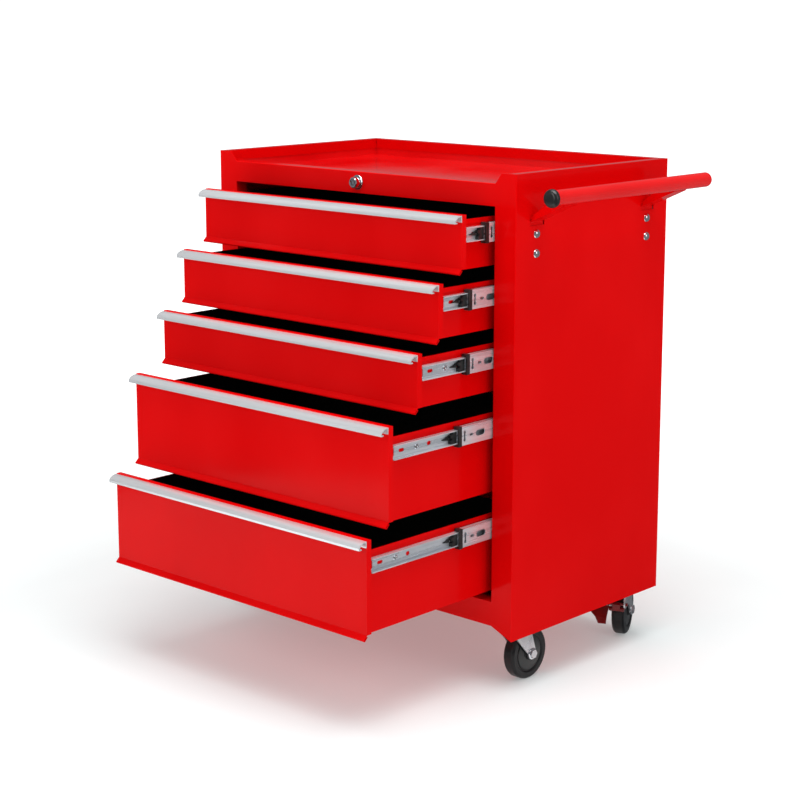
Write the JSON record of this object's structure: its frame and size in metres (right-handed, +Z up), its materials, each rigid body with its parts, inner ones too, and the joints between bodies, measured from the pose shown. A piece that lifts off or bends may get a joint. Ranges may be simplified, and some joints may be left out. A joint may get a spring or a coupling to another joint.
{
  "type": "rolling tool cart",
  "caption": "Red sheet-steel tool cart: recessed top tray, drawers on ball slides, side push handle, keyed lock with lift bar, and swivel casters.",
  "frame": {"origin": "on the floor, under the middle of the whole cart's bounding box as it stands with its drawers part open", "axes": "+X towards the push handle, -Y the side the drawers open on, +Z up from the floor"},
  "size_m": [0.6972, 0.6537, 0.76],
  "materials": {
    "red_enamel": "glossy powder enamel",
    "zinc_steel": "bright zinc plate",
    "chrome": "polished",
    "aluminium_pull": "satin anodised extrusion",
    "black_plastic": "moulded",
    "rubber_mat": "ribbed mat",
    "wheel_black": "moulded, slightly worn",
    "pedal_paint": "dark red enamel"
  },
  "bodies": {
    "cabinet": {"side_panel_left": "red_enamel", "side_panel_right": "red_enamel", "back_panel": "red_enamel", "floor_pan": "red_enamel", "top_tray": "red_enamel", "front_top_rail": "red_enamel", "front_bottom_rail": "red_enamel", "slide_uprights": "zinc_steel", "slide_outer_members": "zinc_steel", "handle_tube": "red_enamel", "handle_end_cap": "black_plastic", "handle_brackets": "red_enamel", "handle_bolts": "chrome", "lock_barrel": "chrome", "lock_bar_guides": "zinc_steel", "caster_plates": "zinc_steel", "caster_bolts": "zinc_steel"},
    "middle_slides_1": {"slide_middle_1": "zinc_steel"},
    "drawer_1": {"slide_inner_1": "zinc_steel", "drawer_front_1": "red_enamel", "drawer_pull_1": "aluminium_pull", "drawer_box_1": "red_enamel", "drawer_mat_1": "rubber_mat"},
    "middle_slides_2": {"slide_middle_2": "zinc_steel"},
    "drawer_2": {"slide_inner_2": "zinc_steel", "drawer_front_2": "red_enamel", "drawer_pull_2": "aluminium_pull", "drawer_box_2": "red_enamel", "drawer_mat_2": "rubber_mat"},
    "middle_slides_3": {"slide_middle_3": "zinc_steel"},
    "drawer_3": {"slide_inner_3": "zinc_steel", "drawer_front_3": "red_enamel", "drawer_pull_3": "aluminium_pull", "drawer_box_3": "red_enamel", "drawer_mat_3": "rubber_mat"},
    "middle_slides_4": {"slide_middle_4": "zinc_steel"},
    "drawer_4": {"slide_inner_4": "zinc_steel", "drawer_front_4": "red_enamel", "drawer_pull_4": "aluminium_pull", "drawer_box_4": "red_enamel", "drawer_mat_4": "rubber_mat"},
    "middle_slides_5": {"slide_middle_5": "zinc_steel"},
    "drawer_5": {"slide_inner_5": "zinc_steel", "drawer_front_5": "red_enamel", "drawer_pull_5": "aluminium_pull", "drawer_box_5": "red_enamel", "drawer_mat_5": "rubber_mat"},
    "lock_cylinder": {"lock_plug": "chrome", "lock_tail_rod": "zinc_steel"},
    "lift_bar": {"lock_lift_bar": "zinc_steel"},
    "caster_front_left": {"caster_fork_front_left": "zinc_steel"},
    "wheel_front_left": {"caster_wheel_front_left": "wheel_black"},
    "caster_front_right": {"caster_fork_front_right": "zinc_steel"},
    "wheel_front_right": {"caster_wheel_front_right": "wheel_black"},
    "caster_rear_left": {"caster_fork_rear_left": "zinc_steel"},
    "wheel_rear_left": {"caster_wheel_rear_left": "wheel_black"},
    "pedal_rear_left": {"brake_pedal_rear_left": "pedal_paint"},
    "caster_rear_right": {"caster_fork_rear_right": "zinc_steel"},
    "wheel_rear_right": {"caster_wheel_rear_right": "wheel_black"},
    "pedal_rear_right": {"brake_pedal_rear_right": "pedal_paint"}
  },
  "joints": [
    {"name": "slide_run_1", "type": "slide", "parent": "cabinet", "child": "middle_slides_1", "axis": [0, -1, 0], "range_m": [-0.03, 0.15]},
    {"name": "drawer_run_1", "type": "slide", "parent": "middle_slides_1", "child": "drawer_1", "axis": [0, -1, 0], "range_m": [-0.038, 0.142]},
    {"name": "slide_run_2", "type": "slide", "parent": "cabinet", "child": "middle_slides_2", "axis": [0, -1, 0], "range_m": [-0.065, 0.115]},
    {"name": "drawer_run_2", "type": "slide", "parent": "middle_slides_2", "child": "drawer_2", "axis": [0, -1, 0], "range_m": [-0.05, 0.13]},
    {"name": "slide_run_3", "type": "slide", "parent": "cabinet", "child": "middle_slides_3", "axis": [0, -1, 0], "range_m": [-0.069, 0.111]},
    {"name": "drawer_run_3", "type": "slide", "parent": "middle_slides_3", "child": "drawer_3", "axis": [0, -1, 0], "range_m": [-0.089, 0.091]},
    {"name": "slide_run_4", "type": "slide", "parent": "cabinet", "child": "middle_slides_4", "axis": [0, -1, 0], "range_m": [-0.085, 0.095]},
    {"name": "drawer_run_4", "type": "slide", "parent": "middle_slides_4", "child": "drawer_4", "axis": [0, -1, 0], "range_m": [-0.131, 0.049]},
    {"name": "slide_run_5", "type": "slide", "parent": "cabinet", "child": "middle_slides_5", "axis": [0, -1, 0], "range_m": [-0.082, 0.098]},
    {"name": "drawer_run_5", "type": "slide", "parent": "middle_slides_5", "child": "drawer_5", "axis": [0, -1, 0], "range_m": [-0.177, 0.003]},
    {"name": "lock_turn", "type": "hinge", "parent": "cabinet", "child": "lock_cylinder", "pos_m": [-0.03237, -0.05328, 0.729], "axis": [0, -1, 0], "range_deg": [0, 90]},
    {"name": "bar_lift", "type": "slide", "parent": "cabinet", "child": "lift_bar", "axis": [0, 0, 1], "range_m": [0, 0.01273]},
    {"name": "swivel_front_left", "type": "hinge", "parent": "cabinet", "child": "caster_front_left", "pos_m": [-0.30237, -0.00478, 0.091], "axis": [0, 0, 1], "continuous": true},
    {"name": "roll_front_left", "type": "hinge", "parent": "caster_front_left", "child": "wheel_front_left", "pos_m": [-0.30237, 0.02322, 0.04], "axis": [1, 0, 0], "continuous": true},
    {"name": "swivel_front_right", "type": "hinge", "parent": "cabinet", "child": "caster_front_right", "pos_m": [0.23763, -0.00478, 0.091], "axis": [0, 0, 1], "continuous": true},
    {"name": "roll_front_right", "type": "hinge", "parent": "caster_front_right", "child": "wheel_front_right", "pos_m": [0.23763, 0.02322, 0.04], "axis": [1, 0, 0], "continuous": true},
    {"name": "swivel_rear_left", "type": "hinge", "parent": "cabinet", "child": "caster_rear_left", "pos_m": [-0.30237, 0.25922, 0.091], "axis": [0, 0, 1], "continuous": true},
    {"name": "roll_rear_left", "type": "hinge", "parent": "caster_rear_left", "child": "wheel_rear_left", "pos_m": [-0.29655, 0.28661, 0.04], "axis": [0.9781, -0.2079, 0], "continuous": true},
    {"name": "brake_rear_left", "type": "hinge", "parent": "caster_rear_left", "child": "pedal_rear_left", "pos_m": [-0.30622, 0.24113, 0.062], "axis": [0.9781, -0.2079, 0], "range_deg": [0, 18]},
    {"name": "swivel_rear_right", "type": "hinge", "parent": "cabinet", "child": "caster_rear_right", "pos_m": [0.23763, 0.25922, 0.091], "axis": [0, 0, 1], "continuous": true},
    {"name": "roll_rear_right", "type": "hinge", "parent": "caster_rear_right", "child": "wheel_rear_right", "pos_m": [0.22624, 0.2848, 0.04], "axis": [0.9135, 0.4067, 0], "continuous": true},
    {"name": "brake_rear_right", "type": "hinge", "parent": "caster_rear_right", "child": "pedal_rear_right", "pos_m": [0.24515, 0.24232, 0.062], "axis": [0.9135, 0.4067, 0], "range_deg": [0, 18]}
  ],
  "couplings": [
    {"joint": "lock_turn", "follows": "bar_lift", "rad_per_m": 123.41}
  ]
}
